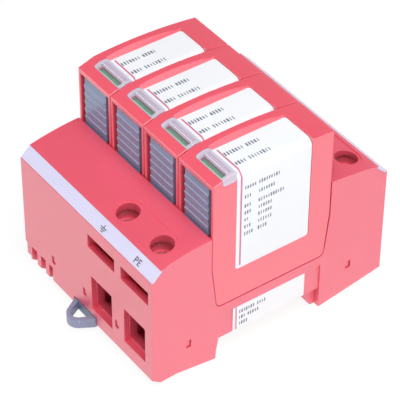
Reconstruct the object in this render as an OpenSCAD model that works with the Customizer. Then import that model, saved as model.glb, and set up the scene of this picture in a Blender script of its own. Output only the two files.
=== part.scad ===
// Pluggable surge arrester for a 35 mm top-hat rail: one base with four poles and four plug-in modules.
// X runs along the rail, Y across it with the earth terminals at -Y, and Z out from the rail.
// The origin is the middle of the seat that lies on the face of the rail. Sizes are in millimetres.

/* [Base housing] */
// Width of one pole along the rail
pole_w = 18; // [17.6:0.1:20]
// Length of the base across the rail
base_len = 90; // [88:0.5:98]
// Wall of the base housing
wall = 2; // [1.6:0.1:2.2]
// Height of the shoulders at the bay, above the face of the rail
shoulder_z = 43; // [42.4:0.1:46]
// Radius of the domed shoulders
shoulder_r = 95; // [60:1:200]
// Height of the lower edge of the marking chamfers
chamfer_z = 36.9; // [36:0.1:37.4]
// Width of the marking chamfers across the rail
chamfer_w = 3.8; // [3.4:0.1:4.2]
// Rise of the marking chamfers
chamfer_rise = 3.7; // [3.4:0.1:4.2]
// Thickness of the marking strips
strip_t = 0.8; // [0.5:0.1:1.2]
// Depth of the back ridges below the face of the rail
ridge_depth = 7.6; // [7.2:0.1:8.6]
// Depth of the lower edge of the end faces below the face of the rail
end_depth = 3.6; // [3:0.1:4]
// Depth of the panel recess in the side faces
panel_recess = 0.5; // [0.4:0.1:0.8]
// Height of the panel recess above the face of the rail
panel_z = 10.4; // [9:0.1:11]
// Length of the base label across the rail
base_label_len = 28; // [20:0.5:34]

/* [Rail clamp] */
// Half width of the notch that clears the rail
notch_half = 20; // [19:0.1:21]
// Thickness of the seat that lies on the rail
seat_t = 2; // [1.6:0.1:2.4]
// Half length across the rail of the flat part of the seat
seat_half = 14.4; // [12:0.1:14.6]
// Height of the groove in the fixed hook
hook_gap = 1.3; // [1.1:0.1:1.6]
// Length of the lip of the fixed hook
hook_reach = 3.2; // [2.5:0.1:3.3]
// Middle of the sliding foot along the rail
foot_x = -1; // [-6:0.5:-1]
// Width of the sliding foot
foot_w = 12; // [10:0.5:14]
// Thickness of the sliding foot
foot_t = 3.5; // [3:0.1:3.7]
// How far the jaw of the foot reaches under the rail
jaw_reach = 4.5; // [3.5:0.1:5]
// How far the pull loop stands out from the base
loop_len = 6.5; // [6.4:0.1:8]
// Thickness of the arms of the pull loop
loop_t = 1.3; // [1:0.1:1.6]

/* [Plug-in modules] */
// Length of the modules across the rail
front_len = 45; // [44:0.1:45.4]
// Gap between neighbouring modules
plug_gap = 0.3; // [0.2:0.05:0.5]
// Gap between a module and its bay
bay_gap = 0.25; // [0.2:0.05:0.4]
// Height of the underside of the modules
plug_bottom = 14.15; // [13.6:0.05:15]
// Height of the crown of the modules
plug_crown = 65.2; // [64.8:0.1:68]
// Radius of the crown
crown_r = 170; // [150:5:240]
// Wall of the module shells
plug_wall = 1.5; // [1.2:0.1:1.6]
// Width of the release buttons
button_w = 12; // [10:0.5:13]
// How far a release button goes in
button_travel = 1; // [0.6:0.1:1.2]
// How far the face of a button lies behind the front of its module
button_sink = 0.45; // [0.4:0.05:0.8]
// Number of grip ribs on a button
rib_count = 6; // [4:1:8]
// Wall of the clear windows
window_wall = 0.8; // [0.6:0.05:0.9]
// Thickness of the folded label
label_t = 0.3; // [0.2:0.05:0.35]
// Edge of the square varistor disc
varistor_w = 34; // [28:0.5:34.5]
// Thickness of the varistor disc
varistor_t = 7; // [5:0.5:8]

/* [Terminals] */
// Distance of the screw axes from the end faces
term_inset = 10; // [9.5:0.1:10.4]
// Shift of the screw axes from the middle of their pole
term_shift = 0.6; // [0:0.1:0.8]
// Radius of the clamp screws
screw_r = 2.5; // [2:0.1:2.6]
// Radius of the screw heads
head_r = 4.2; // [3.9:0.1:4.3]
// Radius of the access holes over the screws
access_r = 3.8; // [3.5:0.1:3.85]
// Width of the clamp cages
cage_w = 9.4; // [8.8:0.1:9.8]
// Clear height under the tongue in an open clamp
wire_h = 11.5; // [11.2:0.1:12]
// Lift of the cages
cage_travel = 10; // [8:0.5:10.2]
// Width of the conductor funnels
port_w = 11.3; // [10.4:0.1:11.8]
// Height of the conductor funnels
port_h = 13.8; // [13.2:0.1:14.4]
// Width of the comb slots
slot_w = 14.5; // [12:0.5:15]
// Height of the comb slots
slot_h = 5.2; // [4.6:0.1:5.4]

/* [Contacts] */
// Thickness of the busbar and the contacts
bus_t = 1.2; // [1:0.1:1.4]
// Thickness of the plug blades
blade_t = 2; // [1.5:0.1:2.2]
// Width of the plug blades
blade_w = 6; // [5:0.1:6.6]
// Distance of the blades from the middle of the module
blade_y = 12; // [11:0.1:12.5]

/* [Hidden] */
$fn = 48;
pole_count = 4;
lower_poles = [3, 4];
upper_poles = [1, 2, 3, 4];

red = "#e0404f";
dark_red = "#b8303d";
paper = "#f6f6fa";
grey = "#8c93a8";
copper = "#b87952";
zinc = "#a9adb2";

// Small clearances: seated faces, sliding pieces, and how far cuts run past a face
seat_gap = 0.1;
slide_gap = 0.2;
past = 1;

half_len = base_len / 2;
half_w = pole_w * pole_count / 2;
inner_w = half_w - wall;
inner_len = half_len - wall;
plug_w = pole_w - plug_gap;
plug_half = front_len / 2;
bay_half = plug_half + bay_gap;
bay_floor = plug_bottom - bay_gap;
function pole_x(i) = (i - (pole_count + 1) / 2) * pole_w;

// Heights in the terminals, from the bottom plate up to the ledge that holds the screw down
end_top = 0.3;
cage_z = end_top + 0.3;
cage_base = 1.5;
cage_side = 1.2;
cage_top_t = 2.8;
tongue_t = 1.5;
tongue_z = cage_z + cage_base + wire_h;
tongue_top = tongue_z + tongue_t;
cage_roof = tongue_top + 1.6;
cage_top = cage_roof + cage_top_t;
head_z = cage_top + cage_travel + 0.7;
head_t = 3.5;
ledge_z = head_z + head_t + 0.3;
ledge_t = 1.2;
roof_z = chamfer_z + 2.4;
cage_len = 7.8;
chamber_half = cage_w / 2 + 0.25;
chamber_y = head_r + 0.3;
term_y = half_len - term_inset;
port_z = cage_z + 1.1;
port_shift = -0.35;
port_step = 1.2;
port_ledge = 0.4;
wire_room = 1.3;
wire_room_left = port_w / 2 - port_ledge - port_shift + wire_room;
slot_z = cage_top + 7.4;
shelf_deep = 2.4;
slot_pit = 3;
comb_tab_top = slot_z - 0.5;
comb_tab_y = term_y + term_inset - shelf_deep - slide_gap;

// Contacts: a strip on the seat, a riser behind the clamp, and a tongue through the cage
bus_z = seat_t + seat_gap;
tongue_w = cage_w - 2 * cage_side - 2 * slide_gap;
riser_y = bay_half + wall + 0.65;
blade_z = bus_z + bus_t + 1.2;
fork_top = bay_floor - wall - 0.4;
fork_t = 1.2;
bus_half = blade_w / 2 + 0.25;

// Sliding foot and its guide in the bottom plate
foot_top = -1.4;
foot_bottom = foot_top - foot_t;
guide_top = foot_top + 0.3;
guide_bottom = foot_bottom - slide_gap;
guide_half = foot_w / 2 + 0.3;
guide_lip = 2;
guide_lip_from = half_len - 11;
jaw_y = notch_half - jaw_reach;
loop_r = 3.9;
loop_y = half_len + loop_len - loop_r;

// Module shell: pockets for the buttons, seat of the window, sliding flag, label fold
cavity_half = plug_w / 2 - plug_wall;
cavity_top = plug_crown - 3.3;
window_floor = cavity_top + 0.8;
window_left = 5.3;
window_front = 19;
window_back = 13.9;
window_x = -window_left;
window_y = [-window_front, -window_back];
window_round = 0.9;
window_lip_z = window_floor - 1.2;
window_lip_t = 1.2;
taper_z = 30;
foot_half = plug_half - 1.7;
corner_r = 2;
pocket_rim = 1.15;
pocket_half = plug_w / 2 - pocket_rim;
pocket_foot = 41.2;
pocket_z = [pocket_foot, plug_crown - 4.2];
button_face = plug_half - button_sink;
button_t = 1.3;
button_back = button_face - button_t;
rib_h = 0.35;
rib_rise = 0.45;
pocket_back = button_back - button_travel - 0.1;
pocket_wall = 1;
stem_w = 5;
stem_foot = 54;
stem_h = 3;
stem_z = [stem_foot, stem_foot + stem_h];
stem_end = pocket_back - pocket_wall - 1;
flag_slot_w = 2.5;
flag_slot_x = [window_x + window_wall, plug_w / 2 - window_lip_t - window_wall];
flag_slot_front = pocket_wall - pocket_back + 0.4;
flag_slot_y = [flag_slot_front, flag_slot_front + flag_slot_w];
flag_top = cavity_top - 0.3;
flag_t = 1;
flag_lap = 0.4;
flag_tail = flag_slot_y[1] + flag_lap;
shelf_top = flag_top - flag_t - slide_gap;
shelf_t = 1.1;
label_end = 14.2;
label_left = 4.6;
label_y = [window_y[1] + 0.1, label_end];
label_x = -label_left;
label_round = 0.9;
label_floor = plug_crown - 1.5;
label_fold_r = 2.5;
label_foot = 26;
label_side = plug_w / 2 - label_t - 0.1;
floor_t = 1.5;
varistor_z = plug_bottom + floor_t + 1.3;

plug_parts = ["plug_housing", "plug_floor", "status_window", "status_flag", "front_release", "rear_release",
    "plug_label", "varistor", "contact_blades"];

// A block between two limits on each axis
module block(x, y, z) {
    translate([x[0], y[0], z[0]]) cube([x[1] - x[0], y[1] - y[0], z[1] - z[0]]);
}

// A (Y, Z) outline run along X, and an (X, Z) outline run along Y
module along_x(x) {
    translate([x[0], 0, 0]) rotate([90, 0, 90]) linear_extrude(x[1] - x[0]) children();
}
module along_y(y) {
    translate([0, y[1], 0]) rotate([90, 0, 0]) linear_extrude(y[1] - y[0]) children();
}

function span(half, middle = 0) = [middle - half, middle + half];
function mirrored(points) = [for (p = points) [-p.x, p.y]];
function reversed(points) = [for (k = [len(points) - 1:-1:0]) points[k]];
function arc(centre, r, from, to, steps) =
    [for (k = [0:steps]) let (a = from + (to - from) * k / steps) centre + r * [cos(a), sin(a)]];

// Outline of a tab that hangs from height top to height foot, with its two lower corners rounded
function tab(across, top, foot, r) = concat([[across[1], top], [across[0], top]],
    arc([across[0] + r, foot + r], r, 180, 270, 5), arc([across[1] - r, foot + r], r, 270, 360, 5));
function turned(points) = [for (p = points) [p.y, p.x]];

// The arc from p to q whose centre lies below them
function dome(p, q, r, steps) =
    let (d = q - p, chord = norm(d), c = (p + q) / 2 + [d.y, -d.x] / chord * sqrt(r * r - chord * chord / 4))
    arc(c, r, atan2(p.y - c.y, p.x - c.x), atan2(q.y - c.y, q.x - c.x), steps);

// Lower and upper ends are the same, turned over: children are drawn for the lower end
module at_end(upper) {
    if (upper) mirror([0, 1, 0]) children();
    else children();
}
module at_terminal(i, upper) {
    at_end(upper) translate([pole_x(i) + term_shift, -term_y, 0]) children();
}
module at_pole(i) {
    translate([pole_x(i), 0, 0]) children();
}

// Outline of the base across the rail
chamfer_foot = [-half_len, chamfer_z];
chamfer_head = [-half_len + chamfer_w, chamfer_z + chamfer_rise];
shoulder = dome(chamfer_head, [-bay_half, shoulder_z], shoulder_r, 10);
housing_seat = 0.2;
toe = [[-half_len, -end_depth], [-half_len + 3.1, -end_depth - 2.3], [-half_len + 9.1, -end_depth - 2],
    [-notch_half - 0.9, -ridge_depth], [-notch_half - 0.8, -ridge_depth / 2]];
heel = [[notch_half - 0.2, -ridge_depth], [notch_half + 0.6, -ridge_depth], [half_len, -end_depth]];
base_outline = concat(toe, [[-notch_half, housing_seat], [notch_half - 0.2, housing_seat]], heel,
    [[half_len, chamfer_z]], mirrored(shoulder), reversed(shoulder), [chamfer_foot]);

// Lower outline of a module, grown by g, from its left edge at height top round to its right edge
function plug_sides(g, top) =
    let (right = concat(arc([foot_half - corner_r, plug_bottom + corner_r], corner_r + g, -90, 0, 5),
            [[plug_half + g, taper_z], [plug_half + g, top]]))
    concat(reversed(mirrored(right)), right);

// Marking strip in the chamfer: g grows the section and cover lifts its outer face
module strip_section(g, cover) {
    margin = 0.3;
    along = (chamfer_head - chamfer_foot) / norm(chamfer_head - chamfer_foot);
    inward = [along.y, -along.x];
    p = chamfer_foot + along * (margin - g);
    q = chamfer_head - along * (margin - g);
    polygon([p - inward * cover, p + inward * (strip_t + g), q + inward * (strip_t + g), q - inward * cover]);
}

// Snap windows: middle along the face, on the end faces and on the side faces
snap_x = [-19, -1, 17];
snap_y = 31.3;
snap_window = [1.9, 3.1];
snap_z = 4.2;
tongue_snap = [3, 1.2, 8.2];
module end_snaps() {
    for (upper = [false, true]) for (x = snap_x) at_end(upper) translate([x, -inner_len, 0]) children();
}
module side_snaps() {
    for (side = [-1, 1]) for (y = [-snap_y, snap_y])
        translate([side * inner_w, y, -1.1]) rotate(side * 90) children();
}
module snap_cut() {
    block(span(snap_window.x / 2), [-wall - past, past], [snap_z, snap_z + snap_window.y]);
    block(span(tongue_snap.x / 2 + slide_gap), [-0.01, tongue_snap.y + 0.3], [0, tongue_snap.z + 1.6]);
}
module snap_tongue() {
    lug = [snap_window.x - 0.4, snap_window.y - 0.6];
    block(span(tongue_snap.x / 2), [seat_gap, tongue_snap.y], [-1, tongue_snap.z]);
    block(span(lug.x / 2), [0.4 - wall, seat_gap + 0.2], [snap_z + 0.3, snap_z + 0.3 + lug.y]);
}

// Everything cut from the housing at one terminal, seen from its screw axis with the end face at -Y
module terminal_cut() {
    face = -term_inset;
    riser = term_y - bay_half - wall + 0.25;
    port = port_shift - term_shift;
    slot_top = slot_z + slot_h;
    behind_shelf = [face + shelf_deep, -chamber_y + past];
    block(span(chamber_half), [-chamber_y, riser], [-ridge_depth, tongue_top + 0.6]);
    block([-term_shift - wire_room_left, chamber_half], [-chamber_y - 0.8, past],
        [-ridge_depth, tongue_top + 0.6]);
    block(span(chamber_half), span(chamber_y), [0, head_z - 0.05]);
    translate([0, 0, head_z - 0.3]) cylinder(r = head_r + 0.4, h = ledge_z - head_z + 0.3);
    translate([0, 0, ledge_z - past]) cylinder(r = access_r, h = shoulder_z);
    translate([0, 0, ledge_z + ledge_t]) cylinder(r = head_r + 0.6, h = roof_z - ledge_z - ledge_t);
    block(span(slot_w / 2, -term_shift), [face - past, face + shelf_deep + 0.01], [slot_z, slot_top]);
    block(span(slot_w / 2 - 0.6, -term_shift), behind_shelf, [slot_z - slot_pit, slot_top]);
    block(span(tongue_w / 2 + slide_gap), behind_shelf, [tongue_z - 0.6, slot_z]);
    block(span(port_w / 2, port), [face - past, face + wall], [port_z, port_z + port_h]);
    block(span(port_w / 2 - port_ledge, port), [face + wall - past, -chamber_y + past],
        [port_z + port_step, port_z + port_h - port_step + 0.3]);
}

// Shallow field round a pair of access holes that follows the shoulder
module screw_field(i, upper) {
    field_r = 4.8;
    sink = 0.3;
    ends = [pole_x(i) + term_shift, pole_x(i + 1) + term_shift];
    at_end(upper) intersection() {
        translate([0, 0, chamfer_z]) linear_extrude(shoulder_z)
            polygon(concat(arc([ends[1], -term_y], field_r, -90, 90, 12),
                arc([ends[0], -term_y], field_r, 90, 270, 12)));
        along_x([ends[0] - 2 * field_r, ends[1] + 2 * field_r])
            polygon(concat([for (p = shoulder) p + [0, past]], [for (p = reversed(shoulder)) p - [0, sink]]));
    }
}

vent_spans = [[-0.1, 3], [3.7, 6.7], [9, 11.8], [13.9, 16]];
vent_top = 1.9;
module base_housing() {
    color(red) difference() {
        along_x(span(half_w)) difference() {
            polygon(base_outline);
            polygon(plug_sides(bay_gap, shoulder_z + past));
            strip_section(slide_gap / 4, past);
            mirror([1, 0]) strip_section(slide_gap / 4, past);
        }
        // Room for the bottom plate, the space under the bay, and the empty space beside the earth terminals
        block(span(inner_w), span(inner_len), [-ridge_depth - past, end_top + 0.05]);
        block(span(inner_w), span(bay_half + wall), [0, bay_floor - wall]);
        block([-inner_w, pole_x(lower_poles[0]) - wire_room_left - wall],
            [-inner_len, -bay_half - wall], [0, chamfer_z - 1.4]);
        for (i = lower_poles) at_terminal(i, false) terminal_cut();
        for (i = upper_poles) at_terminal(i, true) terminal_cut();
        screw_field(lower_poles[0], false);
        for (i = [upper_poles[0], upper_poles[2]]) screw_field(i, true);
        for (i = [1:pole_count]) for (s = [-1, 1])
            at_pole(i) block(span(blade_t / 2 + 0.4), span(blade_w / 2 + 0.4, s * blade_y),
                [bay_floor - wall - past, bay_floor + past]);
        end_snaps() snap_cut();
        side_snaps() snap_cut();
        for (v = vent_spans) block(v - [half_w, half_w], [-half_len - past, -inner_len + past],
            [-ridge_depth - past, vent_top]);
        block(span(guide_half + 0.2, foot_x), [-half_len - past, -inner_len + past],
            [-ridge_depth - past, guide_top + 0.1]);
        for (side = [-1, 1])
            block(span(panel_recess, side * half_w), [-notch_half, notch_half - 0.2], [-past, panel_z]);
    }
}

// Bottom plate: rail seat, fixed hook at the upper edge of the rail, guide of the sliding foot
module base_plate() {
    relief = 0.15;
    edge = inner_len - seat_gap;
    groove = seat_half + hook_reach + 0.3;
    step = bay_half + wall - 0.15;
    plate = concat(
        [[-edge, -end_depth - 1.2], toe[1], toe[2], toe[3], toe[4], [-notch_half, relief]],
        [[-seat_half - 0.6, relief], [-seat_half - 0.6, 0], [seat_half, 0], [seat_half, relief]],
        [[groove, relief], [groove, -hook_gap], [groove - hook_reach, -hook_gap]],
        [[groove - hook_reach, -2 * hook_gap], [groove + 0.2, -ridge_depth], heel[1]],
        [[edge, -end_depth - 0.3], [edge, end_top], [step, end_top], [step, seat_t]],
        [[-step, seat_t], [-step, end_top], [-edge, end_top]]);
    color(dark_red) union() {
        difference() {
            along_x(span(inner_w - seat_gap)) polygon(plate);
            block(span(guide_half, foot_x), [-half_len, -notch_half + past], [guide_bottom, guide_top]);
            block(span(guide_half - guide_lip, foot_x), [-half_len, -notch_half + past],
                [-ridge_depth - past, guide_bottom + 0.01]);
            block(span(guide_half, foot_x), [-half_len, -guide_lip_from],
                [-ridge_depth - past, guide_bottom + 0.01]);
        }
        end_snaps() snap_tongue();
        side_snaps() snap_tongue();
    }
}

// Sliding foot: flat bar with a sloped jaw, and a pull loop outside the base
module rail_foot() {
    bar_end = half_len;
    jaw = [[-bar_end, foot_bottom], [-jaw_y - 3, foot_bottom], [-jaw_y, foot_top - 1], [-jaw_y, foot_top],
        [-bar_end, foot_top]];
    color(grey) union() {
        along_x(span(foot_w / 2, foot_x)) polygon(jaw);
        translate([foot_x, 0, foot_bottom]) linear_extrude(foot_t) difference() {
            polygon(concat([[foot_w / 2, -bar_end + past], [-foot_w / 2, -bar_end + past]],
                [[-foot_w / 2, -bar_end - 0.4]], arc([0, -loop_y], loop_r, 205, 335, 12),
                [[foot_w / 2, -bar_end - 0.4]]));
            polygon(concat([[-foot_w / 2 + loop_t + 0.5, -bar_end]],
                arc([0, -loop_y], loop_r - loop_t, 200, 340, 12), [[foot_w / 2 - loop_t - 0.5, -bar_end]]));
        }
    }
}

module lower_marking_strip() {
    color(paper) along_x(span(half_w)) strip_section(0, 0);
}
module upper_marking_strip() {
    color(paper) mirror([0, 1, 0]) along_x(span(half_w)) strip_section(0, 0);
}
module base_label() {
    face = half_w - panel_recess;
    color(paper) block([face, face + label_t], span(base_label_len / 2, -0.3), [0.5, panel_z - 0.4]);
}

// Fork that grips a blade, standing on a strip
module fork() {
    for (s = [-1, 1]) translate([s * (blade_t + fork_t + slide_gap) / 2, 0, 0])
        block(span(fork_t / 2), span(blade_w / 2), [bus_z + bus_t / 2, fork_top]);
}

// Strip from a fork to a clamp: along the seat, up behind the cage, out over the wire, up to the comb slot
module clamp_strip(i) {
    path = [[-blade_y + bus_half, bus_z], [-blade_y + bus_half, bus_z + bus_t], [-riser_y, bus_z + bus_t],
        [-riser_y, tongue_top], [tongue_t - comb_tab_y, tongue_top], [tongue_t - comb_tab_y, comb_tab_top],
        [-comb_tab_y, comb_tab_top], [-comb_tab_y, tongue_z], [-riser_y - bus_t, tongue_z],
        [-riser_y - bus_t, bus_z]];
    along_x(span(tongue_w / 2, pole_x(i) + term_shift)) polygon(path);
}
module earth_busbar() {
    color(copper) union() {
        block([pole_x(1) - blade_t - fork_t, pole_x(pole_count) + term_shift + tongue_w / 2],
            span(bus_half, -blade_y), [bus_z, bus_z + bus_t]);
        for (i = [1:pole_count]) translate([pole_x(i), -blade_y, 0]) fork();
        for (i = lower_poles) clamp_strip(i);
    }
}
module phase_contacts() {
    color(copper) for (i = upper_poles) at_end(true) union() {
        clamp_strip(i);
        translate([pole_x(i), -blade_y, 0]) fork();
    }
}

// Clamp screw with a cross recess, and the cage that it lifts
module clamp_screw(i, upper) {
    recess = [1.1, 5.4, 1.8];
    color(zinc) at_terminal(i, upper) difference() {
        union() {
            translate([0, 0, tongue_top + seat_gap]) cylinder(r = screw_r, h = head_z - tongue_top);
            translate([0, 0, head_z]) cylinder(r = head_r, h = head_t);
        }
        for (turn = [0, 90]) rotate(turn)
            block(span(recess.x / 2), span(recess.y / 2), [head_z + head_t - recess.z, head_z + head_t + past]);
    }
}
module clamp_cage(i, upper) {
    color(zinc) at_terminal(i, upper) difference() {
        block(span(cage_w / 2), span(cage_len / 2), [cage_z, cage_top]);
        block(span(cage_w / 2 - cage_side), span(cage_len / 2 + past), [cage_z + cage_base, cage_roof]);
        translate([0, 0, cage_roof - past]) cylinder(r = screw_r + seat_gap, h = cage_top_t + 2 * past);
    }
}

// Outside of a module: straight sides, a bevel over the front, and an arched crown
crown_y = -3;
bevel_y = -16.5;
function crown_at(y) = plug_crown - crown_r + sqrt(crown_r * crown_r - (y - crown_y) * (y - crown_y));
plug_outline = concat(plug_sides(0, taper_z + past),
    [for (k = [0:12]) let (y = plug_half + (bevel_y - plug_half) * k / 12) [y, crown_at(y)]],
    [[-plug_half, crown_at(bevel_y) - 1.9]]);
plug_cavity = let (open = foot_half - corner_r - 0.7, half = plug_half - plug_wall)
    let (right = [[open, plug_bottom - past], [open, plug_bottom + floor_t + 0.2],
        [foot_half - plug_wall, plug_bottom + corner_r + 0.6], [half, taper_z], [half, cavity_top]])
    concat(right, reversed(mirrored(right)));

// Seat of the clear window, grown by g: a field on top and a lip over the side
module window_block(g) {
    across = window_y + [-g, g];
    intersection() {
        along_x([window_x - g, plug_w / 2 + g]) polygon(plug_outline);
        union() {
            translate([0, 0, window_floor - g]) linear_extrude(plug_crown)
                polygon(turned(tab(across, plug_w / 2 + past, window_x - g, window_round + g)));
            along_x([plug_w / 2 - window_lip_t - g, plug_w / 2 + past])
                polygon(tab(across, plug_crown, window_lip_z - g, window_round + g));
        }
    }
}

// Fold of the label over the top and down the side, moved out by g
function label_fold(g) = concat([[label_x, label_floor + g]],
    arc([label_side - label_fold_r, label_floor - label_fold_r], label_fold_r + g, 90, 0, 6),
    [[label_side + g, label_foot]]);

module label_seat() {
    slope = [-1.9, 1.5];
    intersection() {
        along_y(label_y) polygon(concat(label_fold(0), [[label_side + past, label_foot],
            [label_side + past, plug_crown + past], [label_x + 2 * slope.x, label_floor + 2 * slope.y]]));
        along_x(span(plug_w)) polygon(tab(label_y, 2 * plug_crown, label_foot, label_round));
    }
}

module release_pocket() {
    stem_room = slide_gap;
    block(span(pocket_half), [-plug_half - past, -pocket_back], pocket_z);
    block(span(stem_w / 2 + stem_room), [-pocket_back - past, -pocket_back + pocket_wall + past],
        stem_z + [-stem_room, stem_room]);
}

module plug_housing(i) {
    color(red) at_pole(i) difference() {
        union() {
            difference() {
                along_x(span(plug_w / 2)) polygon(plug_outline);
                along_x(span(cavity_half)) polygon(plug_cavity);
            }
            for (upper = [false, true]) at_end(upper)
                block(span(plug_w / 2 - plug_wall / 2),
                    [-plug_half + plug_wall / 2, -pocket_back + pocket_wall],
                    [pocket_z[0] - pocket_wall, cavity_top + 0.4]);
            block(span(plug_w / 2 - plug_wall / 2), [-pocket_back, flag_tail - slide_gap],
                [shelf_top - shelf_t, shelf_top]);
        }
        for (upper = [false, true]) at_end(upper) release_pocket();
        window_block(seat_gap);
        block(flag_slot_x, flag_slot_y, [flag_top, window_floor]);
        label_seat();
    }
}

// Bottom of a module, with a cradle for the varistor and slots for the blades
module plug_floor(i) {
    half_y = foot_half - corner_r - 0.8;
    color(dark_red) at_pole(i) difference() {
        union() {
            block(span(cavity_half - seat_gap), span(half_y), [plug_bottom, plug_bottom + floor_t]);
            for (s = [-1, 1]) block(span(0.6, s * (varistor_t / 2 + 0.8)), span(half_y - 2),
                [plug_bottom + floor_t / 2, varistor_z + 3]);
        }
        for (s = [-1, 1]) block(span(blade_t / 2 + seat_gap), span(blade_w / 2 + seat_gap, s * blade_y),
            [plug_bottom - past, plug_bottom + floor_t + past]);
    }
}

// Clear cap over the flag, hollow from below
module status_window(i) {
    color("#eef0fb", 0.5) at_pole(i) difference() {
        window_block(0);
        intersection() {
            block([window_x + window_wall, plug_w / 2 - window_lip_t], window_y + [window_wall, -window_wall],
                [window_floor - past, plug_crown]);
            translate([0, 0, -window_wall]) along_x(span(plug_w)) polygon(plug_outline);
        }
    }
}

// Green flag on its shelf, with the leg that reaches down to the disconnector
module status_flag(i) {
    leg = [6, 1.2];
    color("#2f9e57") at_pole(i) union() {
        block(flag_slot_x + [-flag_lap, flag_lap], [flag_slot_y[0] - slide_gap, flag_tail],
            [flag_top - flag_t, flag_top]);
        block(span(leg.x / 2), [flag_tail - past, flag_tail + leg.y], [flag_top - flag_t, flag_top]);
        block(span(leg.x / 2), [flag_tail, flag_tail + leg.y],
            [varistor_z + varistor_w + 1, flag_top - flag_t / 2]);
    }
}

// Release button with a stepped grip and its guide stem, drawn for the front
module release_button() {
    foot = pocket_z[0] + 0.6;
    head = pocket_z[1] - 0.4;
    pitch = (head - foot) / (rib_count + 0.15);
    ribs = [for (k = [0:rib_count - 1]) let (z = foot + (k + 0.2) * pitch)
        each [[-button_face - rib_h, z], [-button_face, z + rib_rise]]];
    color(grey) union() {
        along_x(span(button_w / 2)) polygon(concat([[-button_back, foot], [-button_face, foot]], ribs,
            [[-button_face, head], [-button_back, head]]));
        block(span(stem_w / 2), [-button_back - button_t / 2, -stem_end], stem_z);
    }
}
module front_release(i) {
    at_pole(i) release_button();
}
module rear_release(i) {
    at_pole(i) mirror([0, 1, 0]) release_button();
}

module plug_label(i) {
    across = label_y + [seat_gap, -seat_gap];
    color(paper) at_pole(i) intersection() {
        along_y(across) polygon(concat(label_fold(0.02), reversed(label_fold(label_t))));
        along_x(span(plug_w)) polygon(tab(across, 2 * plug_crown, label_foot, label_round));
        linear_extrude(2 * plug_crown) polygon(turned(tab(across, plug_w, label_x, label_round)));
    }
}

// Coated square disc with cut corners
module varistor(i) {
    half = varistor_w / 2;
    cut = 4;
    corner = [[half, half - cut], [half - cut, half]];
    ring = concat(corner, reversed(mirrored(corner)));
    color("#3f6fb0") at_pole(i) along_x(span(varistor_t / 2)) translate([0, varistor_z + half])
        polygon(concat(ring, [for (p = ring) -p]));
}
module contact_blades(i) {
    color(zinc) at_pole(i) for (s = [-1, 1])
        block(span(blade_t / 2), span(blade_w / 2, s * blade_y), [blade_z, varistor_z - seat_gap]);
}

base_housing();
base_plate();
rail_foot();
lower_marking_strip();
upper_marking_strip();
base_label();
earth_busbar();
phase_contacts();
for (k = [1:len(lower_poles)]) {
    clamp_screw(lower_poles[k - 1], false);
    clamp_cage(lower_poles[k - 1], false);
}
for (k = [1:len(upper_poles)]) {
    clamp_screw(upper_poles[k - 1], true);
    clamp_cage(upper_poles[k - 1], true);
}
for (i = [1:pole_count]) {
    plug_housing(i);
    plug_floor(i);
    status_window(i);
    status_flag(i);
    front_release(i);
    rear_release(i);
    plug_label(i);
    varistor(i);
    contact_blades(i);
}
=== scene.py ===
"""Pluggable surge arrester for a top-hat rail: the looks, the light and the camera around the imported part."""
import math

import bmesh
import bpy
from mathutils import Matrix, Vector


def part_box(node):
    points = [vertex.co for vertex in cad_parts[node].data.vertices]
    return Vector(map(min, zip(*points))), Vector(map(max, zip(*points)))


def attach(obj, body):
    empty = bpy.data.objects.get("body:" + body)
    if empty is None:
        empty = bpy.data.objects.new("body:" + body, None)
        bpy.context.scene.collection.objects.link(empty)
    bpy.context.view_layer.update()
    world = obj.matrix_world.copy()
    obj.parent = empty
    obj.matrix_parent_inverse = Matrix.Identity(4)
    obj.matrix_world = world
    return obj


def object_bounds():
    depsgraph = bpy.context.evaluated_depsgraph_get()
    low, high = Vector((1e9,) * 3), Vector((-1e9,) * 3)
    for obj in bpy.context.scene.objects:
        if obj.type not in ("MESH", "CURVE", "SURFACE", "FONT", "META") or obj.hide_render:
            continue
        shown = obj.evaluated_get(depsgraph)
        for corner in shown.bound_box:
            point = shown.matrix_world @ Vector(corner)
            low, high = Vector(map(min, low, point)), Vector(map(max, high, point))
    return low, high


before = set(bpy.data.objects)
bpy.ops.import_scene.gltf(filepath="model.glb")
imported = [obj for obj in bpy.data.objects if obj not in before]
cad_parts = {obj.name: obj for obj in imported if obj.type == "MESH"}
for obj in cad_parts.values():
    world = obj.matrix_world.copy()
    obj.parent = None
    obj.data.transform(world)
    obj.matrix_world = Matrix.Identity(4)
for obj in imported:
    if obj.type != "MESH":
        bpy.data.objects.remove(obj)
cad_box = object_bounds()

# Base housing: one injection-moulded shell of glass-filled polyamide. It carries the contacts and terminals,
# and the modules slide into its open bay. The spark-eroded tool leaves a grain that spreads the highlights.
# The grain of all the plastics here is drawn coarser than it is, so that it shows.
MM = 0.001
BASE_RED = "#F0536C"
BASE_RED_DEEP = "#E94C65"
BASE_EDGE = 0.14 * MM
BASE_ROOM = 0.5 * MM
BASE_INSIDE = (Vector((-35.5, -43.5, -10)) * MM, Vector((35.5, 43.5, 36)) * MM)
FLOW_SIZE = 22 * MM
GRAIN_DEPTH = 0.012 * MM
GRAIN_STRENGTH = 0.6
GLOSS_SPREAD = 0.07
PLASTIC_IOR = 1.6
COAT_ROUGHNESS = 0.35


def linear(code):
    """An sRGB hex colour as linear red, green, blue and full alpha."""
    parts = [int(code[k:k + 2], 16) / 255 for k in (1, 3, 5)]
    return [p / 12.92 if p <= 0.04045 else ((p + 0.055) / 1.055) ** 2.4 for p in parts] + [1]


def add(tree, kind, inputs=None, **settings):
    """A new node with its settings; an input is a value, or the socket that feeds it."""
    made = tree.nodes.new(kind)
    for name, value in settings.items():
        setattr(made, name, value)
    for name, value in (inputs or {}).items():
        if isinstance(value, bpy.types.NodeSocket):
            tree.links.new(value, made.inputs[name])
        else:
            made.inputs[name].default_value = value
    return made


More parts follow.
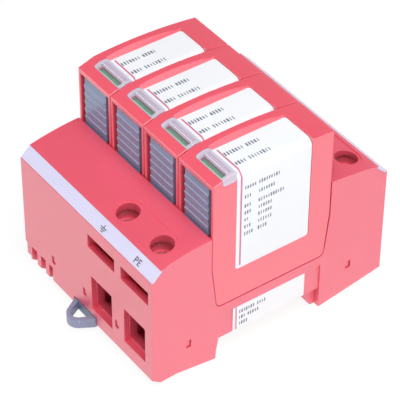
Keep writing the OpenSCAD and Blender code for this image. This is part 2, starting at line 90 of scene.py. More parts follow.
def blank_material(name):
    """An empty material and its tree."""
    material = bpy.data.materials.new(name)
    material.use_nodes = True
    material.node_tree.nodes.clear()
    return material, material.node_tree


def moulded_plastic(name, colour, deep, roughness, grain, specular=0.5, coat=0.0):
    """Moulded plastic, and film, epoxy and ink: a grain roughens the skin, and the flow clouds the colour."""
    material, tree = blank_material(name)
    place = add(tree, "ShaderNodeTexCoord").outputs["Object"]
    flow = add(tree, "ShaderNodeTexNoise", {"Vector": place, "Scale": 1 / FLOW_SIZE, "Detail": 2.0})
    shade = add(tree, "ShaderNodeMixRGB",
                {"Fac": flow.outputs["Fac"], "Color1": linear(deep), "Color2": linear(colour)})
    pits = add(tree, "ShaderNodeTexNoise", {"Vector": place, "Scale": 1 / grain, "Detail": 3.0})
    gloss = add(tree, "ShaderNodeMapRange",
                {"Value": pits.outputs["Fac"], "To Min": roughness - GLOSS_SPREAD,
                 "To Max": roughness + GLOSS_SPREAD})
    bump = add(tree, "ShaderNodeBump",
               {"Height": pits.outputs["Fac"], "Strength": GRAIN_STRENGTH, "Distance": GRAIN_DEPTH})
    skin = add(tree, "ShaderNodeBsdfPrincipled",
               {"Base Color": shade.outputs["Color"], "IOR": PLASTIC_IOR, "Specular IOR Level": specular,
                "Coat Weight": coat, "Coat Roughness": COAT_ROUGHNESS, "Roughness": gloss.outputs["Result"],
                "Normal": bump.outputs["Normal"]})
    add(tree, "ShaderNodeOutputMaterial", {"Surface": skin.outputs["BSDF"]})
    return material


def new_tree(name, sizes):
    """A geometry tree with named inputs, its entry and its exit."""
    tree = bpy.data.node_groups.new(name, "GeometryNodeTree")
    tree.interface.new_socket("Geometry", in_out="INPUT", socket_type="NodeSocketGeometry")
    for label, kind in sizes.items():
        tree.interface.new_socket(label, in_out="INPUT", socket_type=f"NodeSocket{kind}")
    tree.interface.new_socket("Geometry", in_out="OUTPUT", socket_type="NodeSocketGeometry")
    return tree, add(tree, "NodeGroupInput"), add(tree, "NodeGroupOutput")


def set_inputs(modifier, values):
    """Sets a geometry modifier's inputs by the identifiers of their sockets."""
    for item in modifier.node_group.interface.items_tree:
        if item.in_out == "INPUT" and item.name in values:
            modifier[item.identifier] = values[item.name]


# The loose triangles of a node are joined to one skin, and shaded as one.
skin_tree, entry, leave = new_tree("joined_skin", {"Merge": "Float"})
bare = add(skin_tree, "GeometryNodeRemoveAttribute",
           {"Geometry": entry.outputs["Geometry"], "Name": "custom_normal"})
joined = add(skin_tree, "GeometryNodeMergeByDistance",
             {"Geometry": bare.outputs["Geometry"], "Distance": entry.outputs["Merge"]})
smooth = add(skin_tree, "GeometryNodeSetShadeSmooth",
             {"Geometry": joined.outputs["Geometry"], "Shade Smooth": True})
skin_tree.links.new(smooth.outputs["Geometry"], leave.inputs["Geometry"])

# A moulded edge is rounded where both of its faces leave room for that. It stays sharp in a corner, on a
# thin rim, where it runs into a sliver, and in the box that Inside Low and Inside High give.
# A face's breadth is taken from its area and the length of its edges.
ALMOST_NONE = 0.01
edge_tree, entry, leave = new_tree("moulded_edges", {"Room": "Float", "End Room": "Float", "Bend": "Float",
                                                     "Inside Low": "Vector", "Inside High": "Vector"})
place = add(edge_tree, "GeometryNodeInputPosition").outputs["Position"]
above = add(edge_tree, "FunctionNodeCompare", {4: place, 5: entry.outputs["Inside Low"]},
            data_type="VECTOR", mode="ELEMENT", operation="GREATER_THAN")
below = add(edge_tree, "FunctionNodeCompare", {4: place, 5: entry.outputs["Inside High"]},
            data_type="VECTOR", mode="ELEMENT", operation="LESS_THAN")
outer = add(edge_tree, "FunctionNodeBooleanMath", {0: above.outputs["Result"], 1: below.outputs["Result"]},
            operation="NAND")
ends = add(edge_tree, "GeometryNodeInputMeshEdgeVertices")
length = add(edge_tree, "ShaderNodeVectorMath",
             {0: ends.outputs["Position 1"], 1: ends.outputs["Position 2"]}, operation="DISTANCE")
mean_length = add(edge_tree, "GeometryNodeFieldOnDomain", {"Value": length.outputs["Value"]}, domain="EDGE")
corners = add(edge_tree, "GeometryNodeInputMeshFaceNeighbors")
around = add(edge_tree, "ShaderNodeMath",
             {0: mean_length.outputs["Value"], 1: corners.outputs["Vertex Count"]}, operation="MULTIPLY")
area = add(edge_tree, "GeometryNodeInputMeshFaceArea")
half_breadth = add(edge_tree, "ShaderNodeMath", {0: area.outputs["Area"], 1: around.outputs["Value"]},
                   operation="DIVIDE")
thin = add(edge_tree, "ShaderNodeMath", {0: half_breadth.outputs["Value"], 1: entry.outputs["Room"]},
           operation="LESS_THAN")
thin_face = add(edge_tree, "GeometryNodeFieldOnDomain", {"Value": thin.outputs["Value"]}, domain="FACE")
roomy = add(edge_tree, "ShaderNodeMath", {0: thin_face.outputs["Value"], 1: ALMOST_NONE},
            operation="LESS_THAN")
sliver = add(edge_tree, "ShaderNodeMath", {0: half_breadth.outputs["Value"], 1: entry.outputs["End Room"]},
             operation="LESS_THAN")
sliver_face = add(edge_tree, "GeometryNodeFieldOnDomain", {"Value": sliver.outputs["Value"]}, domain="FACE")
sliver_end = add(edge_tree, "GeometryNodeFieldOnDomain", {"Value": sliver_face.outputs["Value"]},
                 domain="POINT")
no_sliver = add(edge_tree, "ShaderNodeMath", {0: sliver_end.outputs["Value"], 1: ALMOST_NONE},
                operation="LESS_THAN")
bend = add(edge_tree, "GeometryNodeInputMeshEdgeAngle")
convex = add(edge_tree, "ShaderNodeMath", {0: bend.outputs["Signed Angle"], 1: entry.outputs["Bend"]},
             operation="GREATER_THAN")
weight = roomy.outputs["Value"]
for share in (convex.outputs["Value"], no_sliver.outputs["Value"], outer.outputs["Boolean"]):
    weight = add(edge_tree, "ShaderNodeMath", {0: weight, 1: share}, operation="MULTIPLY").outputs["Value"]
hard = add(edge_tree, "ShaderNodeMath", {0: bend.outputs["Unsigned Angle"], 1: entry.outputs["Bend"]},
           operation="GREATER_THAN")
crisp = add(edge_tree, "ShaderNodeMath", {0: hard.outputs["Value"], 1: weight}, operation="SUBTRACT")
weighed = add(edge_tree, "GeometryNodeStoreNamedAttribute",
              {"Geometry": entry.outputs["Geometry"], "Name": "bevel_weight_edge", "Value": weight},
              domain="EDGE")
edged = add(edge_tree, "GeometryNodeSetShadeSmooth",
            {"Geometry": weighed.outputs["Geometry"], "Shade Smooth": False,
             "Selection": crisp.outputs["Value"]}, domain="EDGE")
edge_tree.links.new(edged.outputs["Geometry"], leave.inputs["Geometry"])

# After the rounding, every edge that is still steep stays a crisp line.
crisp_tree, entry, leave = new_tree("crisp_edges", {"Bend": "Float"})
bend = add(crisp_tree, "GeometryNodeInputMeshEdgeAngle")
steep = add(crisp_tree, "ShaderNodeMath", {0: bend.outputs["Unsigned Angle"], 1: entry.outputs["Bend"]},
            operation="GREATER_THAN")
edged = add(crisp_tree, "GeometryNodeSetShadeSmooth",
            {"Geometry": entry.outputs["Geometry"], "Shade Smooth": False,
             "Selection": steep.outputs["Value"]}, domain="EDGE")
crisp_tree.links.new(edged.outputs["Geometry"], leave.inputs["Geometry"])

# Faces that bend less than FLAT_BEND become one. Edges over ROUND_BEND are rounded, if both faces have room,
# and what is still over CRISP_BEND after that stays sharp.
WELD = 0.001 * MM
FLAT_BEND = math.radians(0.5)
ROUND_BEND = math.radians(32)
CRISP_BEND = math.radians(50)
ROOM_PER_EDGE = 1.35
END_SHARE = 0.6
EDGE_STEPS = 2
EVEN_WEIGHT = 100


def dress(names, material, edge, room=None, inside=None):
    """Gives CAD nodes a material, soft moulded or tumbled edges, and even shading over their curves."""
    room = room or ROOM_PER_EDGE * edge
    for name in names:
        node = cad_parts[name]
        for slot in node.material_slots:
            slot.material = material
        skin = node.modifiers.new("joined skin", "NODES")
        skin.node_group = skin_tree
        set_inputs(skin, {"Merge": WELD})
        flat = node.modifiers.new("whole faces", "DECIMATE")
        flat.decimate_type = "DISSOLVE"
        flat.angle_limit = FLAT_BEND
        marks = node.modifiers.new("moulded edges", "NODES")
        marks.node_group = edge_tree
        set_inputs(marks, {"Room": room, "End Room": END_SHARE * room, "Bend": ROUND_BEND})
        if inside:
            set_inputs(marks, {"Inside Low": inside[0], "Inside High": inside[1]})
        soft = node.modifiers.new("soft edges", "BEVEL")
        soft.width = edge
        soft.segments = EDGE_STEPS
        soft.limit_method = "WEIGHT"
        soft.use_clamp_overlap = False
        soft.loop_slide = False
        soft.miter_outer = "MITER_ARC"
        steep = node.modifiers.new("crisp edges", "NODES")
        steep.node_group = crisp_tree
        set_inputs(steep, {"Bend": CRISP_BEND})
        even = node.modifiers.new("even shading", "WEIGHTED_NORMAL")
        even.weight = EVEN_WEIGHT
        even.keep_sharp = True


red_polyamide = moulded_plastic("red_polyamide", BASE_RED, BASE_RED_DEEP, roughness=0.46, grain=0.45 * MM,
                                specular=1.0, coat=1.0)
dress(["base_housing"], red_polyamide, BASE_EDGE, BASE_ROOM, BASE_INSIDE)

# Corner rib: a short wall of the same moulding and the same satin red, with eased edges.
# It closes the lower left corner of the base beside its vents.
CORNER_LOW = Vector((-36.0, -44.6, -3.4)) * MM
CORNER_HIGH = Vector((-33.6, -42.0, 2.2)) * MM
CORNER_EDGE = 0.2 * MM
ROUND_PROFILE = 0.5


def settle(maker, name):
    """Turns what has been drawn into a mesh."""
    mesh = bpy.data.meshes.new(name)
    maker.to_mesh(mesh)
    maker.free()
    return mesh


def put(name, data):
    """A new object in the scene."""
    made = bpy.data.objects.new(name, data)
    bpy.context.scene.collection.objects.link(made)
    return made


def piece(name, mesh, material, body):
    """Makes a mesh a piece that moves with a body, in the material it is given."""
    mesh.materials.clear()
    mesh.materials.append(material)
    made = put(name, mesh)
    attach(made, body)


rib = bmesh.new()
bmesh.ops.create_cube(rib, size=1.0)
bmesh.ops.scale(rib, vec=CORNER_HIGH - CORNER_LOW, verts=rib.verts)
bmesh.ops.translate(rib, vec=(CORNER_HIGH + CORNER_LOW) / 2, verts=rib.verts)
bmesh.ops.bevel(rib, geom=rib.edges[:], offset=CORNER_EDGE, segments=EDGE_STEPS, affect="EDGES",
                profile=ROUND_PROFILE)
piece("corner_rib", settle(rib, "corner_rib"), red_polyamide, "base")

# Bottom plate: moulded from the same red polyamide, it closes the base from below.
# It holds the seat and the fixed hook for the rail, and its tongues snap into small windows.
PLATE_EDGE = 0.2 * MM
dress(["base_plate"], red_polyamide, PLATE_EDGE)

# Sliding foot: moulded from blue-grey acetal, which has a soft, slightly waxy sheen.
# It is pulled out by its loop with a screwdriver to free the rail.
FOOT_GREY = "#929CB8"
FOOT_GREY_DEEP = "#8892AF"
FOOT_EDGE = 0.3 * MM
grey_acetal = moulded_plastic("grey_acetal", FOOT_GREY, FOOT_GREY_DEEP, roughness=0.42, grain=0.5 * MM)
dress(["rail_foot"], grey_acetal, FOOT_EDGE)

# Earth busbar and phase contacts: copper strip, stamped and bent, with forks that grip the blades.
# Rolling leaves fine lines along the strip that streak its tint and its gloss. They are drawn a little
# coarser here than they are.
COPPER = "#B87850"
COPPER_DULL = "#94603F"
COPPER_EDGE = 0.1 * MM
ROLL_LINE = 0.25 * MM
ROLLED_ALONG = (1, 0.04, 0.04)


def clouded_metal(name, bright, dull, roughness, size, stretch=(1, 1, 1), detail=4.0):
    """Bare or plated metal: streaks or patches change both tint and gloss, from dull to bright."""
    material, tree = blank_material(name)
    place = add(tree, "ShaderNodeTexCoord").outputs["Object"]
    drawn = add(tree, "ShaderNodeMapping", {"Vector": place, "Scale": stretch})
    patches = add(tree, "ShaderNodeTexNoise",
                  {"Vector": drawn.outputs["Vector"], "Scale": 1 / size, "Detail": detail})
    tint = add(tree, "ShaderNodeMixRGB",
               {"Fac": patches.outputs["Fac"], "Color1": linear(dull), "Color2": linear(bright)})
    gloss = add(tree, "ShaderNodeMapRange",
                {"Value": patches.outputs["Fac"], "To Min": roughness[0], "To Max": roughness[1]})
    skin = add(tree, "ShaderNodeBsdfPrincipled",
               {"Base Color": tint.outputs["Color"], "Metallic": 1.0, "Roughness": gloss.outputs["Result"]})
    add(tree, "ShaderNodeOutputMaterial", {"Surface": skin.outputs["BSDF"]})
    return material


rolled_copper = clouded_metal("rolled_copper", COPPER, COPPER_DULL, roughness=(0.28, 0.48), size=ROLL_LINE,
                              stretch=ROLLED_ALONG, detail=3.0)
dress(["earth_busbar", "phase_contacts"], rolled_copper, COPPER_EDGE)

# Clamp cages and screws: zinc-plated steel, bright with dull grey patches.
# Each screw pulls its cage up and presses the wire on the tongue.
ZINC = "#C3C6CB"
ZINC_DULL = "#92969E"
PATCH = 1.6 * MM
CLAMP_EDGE = 0.12 * MM
POLES = (1, 2, 3, 4)
EARTH_TERMINALS = (1, 2)
zinc_steel = clouded_metal("zinc_plated_steel", ZINC, ZINC_DULL, roughness=(0.45, 0.25), size=PATCH)
dress([f"lower_{part}_{k}" for part in ("screw", "cage") for k in EARTH_TERMINALS], zinc_steel, CLAMP_EDGE)
dress([f"upper_{part}_{k}" for part in ("screw", "cage") for k in POLES], zinc_steel, CLAMP_EDGE)

# Marking strips: white extruded polycarbonate, smooth and a little glossy, clipped into the two chamfers.
# Matt black signs are printed at the earth terminals: the earth symbol at the left one and the letters for
# protective earth at the right one.
STRIP_WHITE = "#D9D5F0"
STRIP_WHITE_DEEP = "#D1CFEC"
STRIP_EDGE = 0.08 * MM
INK = "#3A3A46"
INK_DEEP = "#30303A"
INK_DEPTH = 0.02 * MM
POLE = 18 * MM
SIGN_HEIGHT = 1.9 * MM
SIGN_STROKE = 0.3 * MM
SIGN_DROP = 0.5 * MM
# A bar of the earth symbol has a width and a level, and its stem a length and a level. The levels and the
# stem's length are shares of the sign's height.
EARTH_BARS = ((3.0 * MM, 0.1), (2.0 * MM, -0.22), (1.0 * MM, -0.54))
EARTH_STEM = 0.6
EARTH_STEM_LEVEL = 0.4
EARTH_X = POLE / 2 - 0.4 * MM
LETTERS_X = 1.5 * POLE - 0.2 * MM
CAPITALS_SHARE = 0.64
LETTER_SPACING = 1.12
LETTER_SWELL = 0.03 * MM
strip_white = moulded_plastic("white_polycarbonate", STRIP_WHITE, STRIP_WHITE_DEEP, roughness=0.4,
                              grain=0.8 * MM)
dress(["lower_marking_strip", "upper_marking_strip"], strip_white, STRIP_EDGE)
black_ink = moulded_plastic("black_ink", INK, INK_DEEP, roughness=0.6, grain=0.2 * MM)


def flat_block(maker, width, height, middle):
    """A thin bar of ink, drawn in the plane, with its underside open on what it is printed on."""
    x, y = middle
    corners = [(-1, -1), (1, -1), (1, 1), (-1, 1)]
    low = [maker.verts.new((x + sx * width / 2, y + sy * height / 2, 0)) for sx, sy in corners]
    high = [maker.verts.new((v.co.x, v.co.y, INK_DEPTH)) for v in low]
    maker.faces.new(high)
    for k in range(4):
        maker.faces.new((low[k], low[(k + 1) % 4], high[(k + 1) % 4], high[k]))


def plain_mesh(source):
    """The finished mesh of a text or of an object with modifiers, which is then removed."""
    mesh = bpy.data.meshes.new_from_object(source.evaluated_get(bpy.context.evaluated_depsgraph_get()))
    bpy.data.objects.remove(source)
    return mesh


def on_face(reading, upward, middle):
    """Turns print drawn flat into the plane that reads along one way and stands up along another."""
    normal = reading.cross(upward)
    turn = Matrix((reading, upward, normal)).transposed().to_4x4()
    return Matrix.Translation(middle) @ turn


strip_corners = [v.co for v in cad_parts["lower_marking_strip"].data.vertices]
strip_foot = min(strip_corners, key=lambda p: p.y) * Vector((0, 1, 1))
strip_head = max(strip_corners, key=lambda p: p.z) * Vector((0, 1, 1))
strip_up = (strip_head - strip_foot).normalized()
sign_line = (strip_head + strip_foot) / 2 - strip_up * SIGN_DROP
along_rail = Vector((1, 0, 0))

earth = bmesh.new()
for width, level in EARTH_BARS:
    flat_block(earth, width, SIGN_STROKE, (0, level * SIGN_HEIGHT))
flat_block(earth, SIGN_STROKE, EARTH_STEM * SIGN_HEIGHT, (0, EARTH_STEM_LEVEL * SIGN_HEIGHT))
earth_mesh = settle(earth, "earth_sign")
earth_mesh.transform(on_face(along_rail, strip_up, sign_line + along_rail * EARTH_X))
piece("earth_sign", earth_mesh, black_ink, "base")

letters = bpy.data.curves.new("earth_letters", "FONT")
letters.body = "PE"
letters.size = SIGN_HEIGHT / CAPITALS_SHARE
letters.space_character = LETTER_SPACING
letters.align_x = "CENTER"
letters.align_y = "CENTER"
letters.extrude = INK_DEPTH / 2
letters.offset = LETTER_SWELL
letters_mesh = plain_mesh(put("earth_letters_curve", letters))
letters_mesh.transform(on_face(along_rail, strip_up, sign_line + along_rail * LETTERS_X))
piece("earth_letters", letters_mesh, black_ink, "base")

# Base label: white coated film, even and nearly matt, stuck into the sunk panel of the side face.
# It carries a thin red rule and grey lines of print in matt ink. Each word is its left end and its level on
# the label in millimetres, and how many bars it has.
LABEL_WHITE = "#F1F3F6"
LABEL_WHITE_DEEP = "#EAEDF2"
LABEL_EDGE = 0.06 * MM
RULE_RED = "#D6789A"
RULE_RED_DEEP = "#CE7092"
BASE_RULE_WIDTH = 0.5 * MM
BASE_RULE_INSET = 1.2 * MM
BASE_RULE_SHORT = 0.4 * MM
PRINT_GREY = "#747A8E"
PRINT_GREY_DEEP = "#6A7084"
PRINT_HEIGHT = 1.5 * MM
BAR_PITCH = 0.6
BAR_LEAST = (0.3, 0.72, 1.0)
BAR_MOST = (0.66, 1.0, 1.0)
BASE_WORDS = ((2.6, 6.9, 7), (9.6, 6.9, 4), (2.6, 4.4, 3), (6.0, 4.4, 5), (2.6, 1.9, 4))
label_film = moulded_plastic("coated_label_film", LABEL_WHITE, LABEL_WHITE_DEEP, roughness=0.5,
                             grain=0.6 * MM)
red_ink = moulded_plastic("red_ink", RULE_RED, RULE_RED_DEEP, roughness=0.55, grain=0.2 * MM)
grey_ink = moulded_plastic("grey_ink", PRINT_GREY, PRINT_GREY_DEEP, roughness=0.6, grain=0.2 * MM)
dress(["base_label"], label_film, LABEL_EDGE)

marks_tree, entry, leave = new_tree("printed_bars", {"Bars": "Int", "Pitch": "Float", "Height": "Float",
                                                     "Depth": "Float", "Seed": "Int", "Ink": "Material"})
step = add(marks_tree, "ShaderNodeCombineXYZ", {"X": entry.outputs["Pitch"]})
row = add(marks_tree, "GeometryNodeMeshLine",
          {"Count": entry.outputs["Bars"], "Offset": step.outputs["Vector"]})
bar = add(marks_tree, "GeometryNodeMeshGrid",
          {"Size X": entry.outputs["Pitch"], "Size Y": entry.outputs["Height"],
           "Vertices X": 2, "Vertices Y": 2})
breadth = add(marks_tree, "FunctionNodeRandomValue",
              {"Min": BAR_LEAST, "Max": BAR_MOST, "Seed": entry.outputs["Seed"]}, data_type="FLOAT_VECTOR")
bars = add(marks_tree, "GeometryNodeInstanceOnPoints",
           {"Points": row.outputs["Mesh"], "Instance": bar.outputs["Mesh"],
            "Scale": breadth.outputs["Value"]})
real = add(marks_tree, "GeometryNodeRealizeInstances", {"Geometry": bars.outputs["Instances"]})
deep = add(marks_tree, "GeometryNodeExtrudeMesh",
           {"Mesh": real.outputs["Geometry"], "Individual": False, "Offset Scale": entry.outputs["Depth"]})
inked = add(marks_tree, "GeometryNodeSetMaterial",
            {"Geometry": deep.outputs["Mesh"], "Material": entry.outputs["Ink"]})
marks_tree.links.new(inked.outputs["Geometry"], leave.inputs["Geometry"])


def bars_mesh(words, height, seed):
    """Rows of plain bars in place of print."""
    whole = bmesh.new()
    for k, (left, level, count) in enumerate(words):
        holder = put("bars_holder", bpy.data.meshes.new("bars_holder"))
        modifier = holder.modifiers.new("printed bars", "NODES")
        modifier.node_group = marks_tree
        set_inputs(modifier, {"Bars": count, "Pitch": BAR_PITCH * height, "Height": height,
                              "Depth": INK_DEPTH, "Seed": seed + k, "Ink": grey_ink})
        word = plain_mesh(holder)
        word.transform(Matrix.Translation((left * MM, level * MM, 0)))
        whole.from_mesh(word)
    return settle(whole, "printed_bars")


upright = Vector((0, 0, 1))
across = Vector((0, 1, 0))
base_low, base_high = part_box("base_label")
base_corner = Vector((base_high.x, base_low.y, base_low.z))
base_height = base_high.z - base_low.z
base_print = bars_mesh(BASE_WORDS, PRINT_HEIGHT, seed=41)
base_print.transform(on_face(across, upright, base_corner))
piece("base_label_print", base_print, grey_ink, "base")
rule = bmesh.new()
flat_block(rule, BASE_RULE_WIDTH, base_height - BASE_RULE_SHORT, (BASE_RULE_INSET, base_height / 2))
rule_mesh = settle(rule, "base_label_rule")
rule_mesh.transform(on_face(across, upright, base_corner))
piece("base_label_rule", rule_mesh, red_ink, "base")

# Module shells and floors: red polyamide like the base, from a smoother tool, so they shine a little more.
# The floor is welded in after the disc and the blades have been fitted.
PLUG_RED = "#F4566B"
PLUG_RED_DEEP = "#EE5065"
SHELL_EDGE = 0.3 * MM
FLOOR_EDGE = 0.15 * MM
plug_polyamide = moulded_plastic("smooth_red_polyamide", PLUG_RED, PLUG_RED_DEEP, roughness=0.42,
                                 grain=0.35 * MM, specular=1.0, coat=1.0)
dress([f"plug_housing_{i}" for i in POLES], plug_polyamide, SHELL_EDGE)
dress([f"plug_floor_{i}" for i in POLES], plug_polyamide, FLOOR_EDGE)

# Varistors: sintered zinc oxide discs, held in the module between the blades.
# They are dipped in blue epoxy, which dries glossy with a slightly wavy skin.
EPOXY_BLUE = "#2F5FA0"
EPOXY_BLUE_DEEP = "#27528E"
DISC_EDGE = 0.4 * MM
blue_epoxy = moulded_plastic("blue_epoxy", EPOXY_BLUE, EPOXY_BLUE_DEEP, roughness=0.3, grain=1.5 * MM)
dress([f"varistor_{i}" for i in POLES], blue_epoxy, DISC_EDGE)

# Contact blades: tinned copper, stamped, with eased edges that lead into the forks.
# The tin is pale and bright, with duller clouds.
TIN = "#D0D2D4"
TIN_DULL = "#A9ACB0"
BLADE_EDGE = 0.25 * MM
tinned_copper = clouded_metal("tinned_copper", TIN, TIN_DULL, roughness=(0.4, 0.22), size=PATCH)
dress([f"contact_blades_{i}" for i in POLES], tinned_copper, BLADE_EDGE)

# Release buttons: blue-grey acetal from a polished tool, so the ledges of their stepped grip catch the light.
# They are pressed from both ends to pull a module out.
BUTTON_GREY = "#8598B8"
BUTTON_GREY_DEEP = "#7B8EAF"
BUTTON_EDGE = 0.12 * MM
button_acetal = moulded_plastic("button_acetal", BUTTON_GREY, BUTTON_GREY_DEEP, roughness=0.26,
                                grain=0.4 * MM)
dress([f"{side}_release_{i}" for side in ("front", "rear") for i in POLES], button_acetal, BUTTON_EDGE)

# Status flags: slides moulded from green acetal, satin and evenly coloured, that lie under the lens.
# They draw back when the disconnector trips.
FLAG_GREEN = "#38B46C"
FLAG_GREEN_DEEP = "#2EA662"
FLAG_EDGE = 0.1 * MM
green_acetal = moulded_plastic("green_acetal", FLAG_GREEN, FLAG_GREEN_DEEP, roughness=0.4, grain=0.4 * MM)
dress([f"status_flag_{i}" for i in POLES], green_acetal, FLAG_EDGE)

# Status windows: caps moulded from clear polycarbonate with a faint violet tint, snapped into the top edge.
# Their walls, and the top beside the field over the flag, are milky: a painted reflection of the bright room
# that the clear walls would throw back. Over the flag lie three strips along the rail: a polished clear one, a
# white line that is a painted highlight of an edge under the lens, and a hazy one. Each is given by where it
# starts across the rail and how much it hides.
LENS_TINT = "#E9E4F7"
LENS_IOR = 1.58
LENS_EDGE = 0.2 * MM
LENS_FLOW = 3 * MM
LENS_ROUGHNESS = (0.1, 0.2)
# Painted reflection: the milky tint on the walls and beside the flag stands in for light the clear walls throw
# back.
MILKY_PAINTED_REFLECTION = 0.62
CLEAR = 0.1
# Painted highlight: a nearly opaque white line where an edge under the lens would catch the light.
PAINTED_HIGHLIGHT_LINE = 0.95
HAZY = 0.35
LENS_ENDS = (-19.0 * MM, -13.9 * MM)
LENS_STRIPS = ((-19.0 * MM, MILKY_PAINTED_REFLECTION), (-18.7 * MM, CLEAR), (-16.6 * MM, PAINTED_HIGHLIGHT_LINE), (-16.25 * MM, HAZY),
               (-15.1 * MM, MILKY_PAINTED_REFLECTION))
FIELD_ENDS = (POLE / 2 - 3.8 * MM, POLE / 2 + 7.65 * MM)
FIELD_BLUR = 0.15 * MM
clear_polycarbonate, lens_tree = blank_material("clear_polycarbonate")
lens_place = add(lens_tree, "ShaderNodeTexCoord").outputs["Object"]
lens_axes = add(lens_tree, "ShaderNodeSeparateXYZ", {"Vector": lens_place})
in_pole = add(lens_tree, "ShaderNodeMath", {0: lens_axes.outputs["X"], 1: POLE, 2: 0.0}, operation="WRAP")
from_middle = add(lens_tree, "ShaderNodeMath", {0: in_pole.outputs["Value"], 1: sum(FIELD_ENDS) / 2},
                  operation="SUBTRACT")
off_middle = add(lens_tree, "ShaderNodeMath", {0: from_middle.outputs["Value"]}, operation="ABSOLUTE")
past_end = add(lens_tree, "ShaderNodeMath",
               {0: off_middle.outputs["Value"], 1: (FIELD_ENDS[1] - FIELD_ENDS[0]) / 2}, operation="SUBTRACT")
past_field = add(lens_tree, "ShaderNodeMapRange",
                 {"Value": past_end.outputs["Value"], "From Min": -FIELD_BLUR, "From Max": FIELD_BLUR})
across_lens = add(lens_tree, "ShaderNodeMapRange",
                  {"Value": lens_axes.outputs["Y"], "From Min": LENS_ENDS[0], "From Max": LENS_ENDS[1]})
strips = add(lens_tree, "ShaderNodeValToRGB", {"Fac": across_lens.outputs["Result"]})
stops = strips.color_ramp.elements
strips.color_ramp.interpolation = "CONSTANT"
stops.remove(stops[1])
for k, (start_y, alpha) in enumerate(LENS_STRIPS):
    spot = (start_y - LENS_ENDS[0]) / (LENS_ENDS[1] - LENS_ENDS[0])
    stop = stops.new(spot) if k else stops[0]
    stop.position = spot
    stop.color = (alpha, alpha, alpha, 1)
# Beside the field over the flag, the cap takes the milky painted reflection.
lens_alpha = add(lens_tree, "ShaderNodeMixRGB",
                 {"Fac": past_field.outputs["Result"], "Color1": strips.outputs["Color"],
                  "Color2": (MILKY_PAINTED_REFLECTION, MILKY_PAINTED_REFLECTION, MILKY_PAINTED_REFLECTION, 1)})
lens_flow = add(lens_tree, "ShaderNodeTexNoise",
                {"Vector": lens_place, "Scale": 1 / LENS_FLOW, "Detail": 1.0})
lens_gloss = add(lens_tree, "ShaderNodeMapRange",
                 {"Value": lens_flow.outputs["Fac"], "To Min": LENS_ROUGHNESS[0],
                  "To Max": LENS_ROUGHNESS[1]})
lens_skin = add(lens_tree, "ShaderNodeBsdfPrincipled",
                {"Base Color": linear(LENS_TINT), "IOR": LENS_IOR, "Specular IOR Level": 1.0,
                 "Alpha": lens_alpha.outputs["Color"], "Roughness": lens_gloss.outputs["Result"]})
add(lens_tree, "ShaderNodeOutputMaterial", {"Surface": lens_skin.outputs["BSDF"]})
dress([f"status_window_{i}" for i in POLES], clear_polycarbonate, LENS_EDGE)

# Module labels: white film stuck over the top and folded down the side, with a thin red rule by the window.
# Two lines of marks lie on top. On the side there are seven rows in two columns, each given by its height
# in millimetres and the bars in its two words.
FILM_EDGE = 0.05 * MM
FOLD = 2.8 * MM
FOLD_STEPS = 8
RULE_INSET = 1.3 * MM
RULE_WIDTH = 0.6 * MM
RULE_START = 0.9 * MM
RULE_END = 1.2 * MM
TOP_HEIGHT = 1.7 * MM
TOP_WORDS = ((2.4, 6.6, 7), (10.4, 6.6, 5), (2.6, 1.3, 4), (7.6, 1.3, 8))
SIDE_COLUMNS = (3.2, 8.4)
SIDE_ROWS = ((57.1, 5, 9), (53.6, 3, 7), (50.0, 3, 11), (47.3, 3, 6), (44.6, 2, 6), (41.8, 3, 6),
             (39.0, 4, 4))
SIDE_WORDS = [(left, level, count) for level, *counts in SIDE_ROWS
              for left, count in zip(SIDE_COLUMNS, counts)]
dress([f"plug_label_{i}" for i in POLES], label_film, FILM_EDGE)


def rule_over_fold(low, high):
    """The red rule: a narrow ribbon along the top of a label, round its fold and down its side."""
    centre = Vector((high.x - FOLD, high.z - FOLD))
    path = [Vector((low.x + RULE_START, high.z + INK_DEPTH))]
    for k in range(FOLD_STEPS + 1):
        angle = math.radians(90 - 90 * k / FOLD_STEPS)
        path.append(centre + (FOLD + INK_DEPTH) * Vector((math.cos(angle), math.sin(angle))))
    path.append(Vector((high.x + INK_DEPTH, low.z + RULE_END)))
    front = low.y + RULE_INSET
    ribbon = bmesh.new()
    edges = [[ribbon.verts.new((p.x, y, p.y)) for p in path] for y in (front, front + RULE_WIDTH)]
    for k in range(len(path) - 1):
        ribbon.faces.new((edges[0][k], edges[0][k + 1], edges[1][k + 1], edges[1][k]))
    return settle(ribbon, "label_rule")


for i in POLES:
    low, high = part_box(f"plug_label_{i}")
    top_print = bars_mesh(TOP_WORDS, TOP_HEIGHT, seed=11)
    top_print.transform(on_face(across, -along_rail, Vector((high.x - FOLD, low.y, high.z))))
    piece(f"label_top_print_{i}", top_print, grey_ink, f"plug_{i}")
    side_print = bars_mesh(SIDE_WORDS, PRINT_HEIGHT, seed=71)
    side_print.transform(on_face(across, upright, Vector((high.x, low.y, 0))))
    piece(f"label_side_print_{i}", side_print, grey_ink, f"plug_{i}")
    piece(f"label_rule_{i}", rule_over_fold(low, high), red_ink, f"plug_{i}")

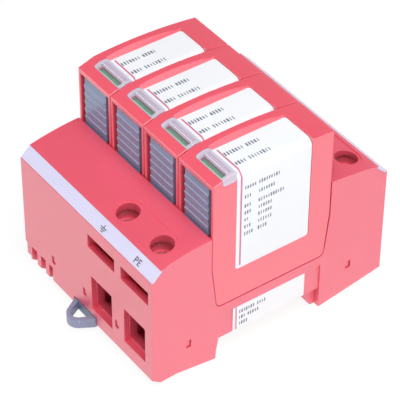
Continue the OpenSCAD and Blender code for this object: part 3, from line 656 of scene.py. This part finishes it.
# Studio: a white floor with a low round wall, which keeps a faint shadow, in a dim room.
# A large soft box hangs over the part, and smaller ones at its right, in front and behind lighten the rest.
FLOOR_RADIUS = 1.2
WALL_HEIGHT = 0.35
FLOOR_STEPS = 64
SHADOW_SHARE = 0.12
FLOOR_GLOW = 1.04
FLOOR_WHITE = "#F4F4F4"
GLOW_WHITE = "#FFFFFF"
ROOM_LEVEL = 0.15
AIM = Vector((0, 0, 24.51)) * MM
LAMP_DISTANCE = 0.8
sweep = bmesh.new()
bmesh.ops.create_circle(sweep, cap_ends=True, radius=FLOOR_RADIUS, segments=FLOOR_STEPS,
                        matrix=Matrix.Translation((0, 0, cad_box[0][2])))
rim = bmesh.ops.extrude_edge_only(sweep, edges=sweep.edges[:])
bmesh.ops.translate(sweep, verts=[v for v in rim["geom"] if isinstance(v, bmesh.types.BMVert)],
                    vec=(0, 0, WALL_HEIGHT))
floor = put("studio_sweep", settle(sweep, "studio_sweep"))
white_board, board_tree = blank_material("white_board")
board_path = add(board_tree, "ShaderNodeLightPath")
seen = board_path.outputs["Is Camera Ray"]
for ray in ("Is Glossy Ray", "Is Transmission Ray"):
    either = add(board_tree, "ShaderNodeMath", {0: seen, 1: board_path.outputs[ray]}, operation="MAXIMUM")
    seen = either.outputs["Value"]
glow_share = add(board_tree, "ShaderNodeMath", {0: seen, 1: 1 - SHADOW_SHARE}, operation="MULTIPLY")
board_paint = add(board_tree, "ShaderNodeBsdfDiffuse", {"Color": linear(FLOOR_WHITE)})
board_glow = add(board_tree, "ShaderNodeEmission", {"Color": linear(GLOW_WHITE), "Strength": FLOOR_GLOW})
board_mix = add(board_tree, "ShaderNodeMixShader",
                {0: glow_share.outputs["Value"], 1: board_paint.outputs["BSDF"],
                 2: board_glow.outputs["Emission"]})
add(board_tree, "ShaderNodeOutputMaterial", {"Surface": board_mix.outputs["Shader"]})
floor.data.materials.append(white_board)

world = bpy.data.worlds.new("dim_room")
bpy.context.scene.world = world
world.use_nodes = True
room_tree = world.node_tree
room_tree.nodes.clear()
room_light = add(room_tree, "ShaderNodeBackground", {"Color": linear(GLOW_WHITE), "Strength": ROOM_LEVEL})
add(room_tree, "ShaderNodeOutputWorld", {"Surface": room_light.outputs["Background"]})


def soft_box(name, direction, size, watts):
    """A square soft box that looks at the part from a direction."""
    lamp = bpy.data.lights.new(name, "AREA")
    lamp.energy = watts
    lamp.size = size
    box = put(name, lamp)
    away = Vector(direction).normalized()
    box.location = AIM + away * LAMP_DISTANCE
    box.rotation_euler = away.to_track_quat("Z", "Y").to_euler()


soft_box("top_light", (0.36, -0.12, 0.93), size=0.5, watts=6.1)
soft_box("right_light", (0.95, -0.1, 0.2), size=0.25, watts=0.9)
soft_box("front_light", (-0.5, -0.82, 0.22), size=0.3, watts=1.3)
soft_box("rear_light", (0.3, 0.8, 0.5), size=0.3, watts=0.9)

# Camera: fitted to the photograph from the known sizes of the poles, the base and the front.
# It looks down from the right of the earth terminals, with a long lens.
AZIMUTH = math.radians(53.93)
ELEVATION = math.radians(40.70)
ROLL = math.radians(0.416)
DISTANCE = 673.95 * MM
OFF_CENTRE = (0.96 * MM, 1.817 * MM)
FOCAL_LENGTH = 190.887
SENSOR = 36
CLIP = (0.05, 20)
flat_share = math.cos(ELEVATION)
right = Vector((math.cos(AZIMUTH), math.sin(AZIMUTH), 0))
back = Vector((math.sin(AZIMUTH) * flat_share, -math.cos(AZIMUTH) * flat_share, math.sin(ELEVATION)))
turn = Matrix((right, back.cross(right), back)).transposed() @ Matrix.Rotation(ROLL, 3, "Z")
view = bpy.data.cameras.new("photo_camera")
view.lens = FOCAL_LENGTH
view.sensor_width = SENSOR
view.sensor_fit = "HORIZONTAL"
view.clip_start, view.clip_end = CLIP
camera = put("photo_camera", view)
eye = AIM + turn @ Vector((-OFF_CENTRE[0], -OFF_CENTRE[1], DISTANCE))
camera.matrix_world = Matrix.Translation(eye) @ turn.to_4x4()
bpy.context.scene.camera = camera
bpy.context.scene.view_settings.view_transform = "Standard"
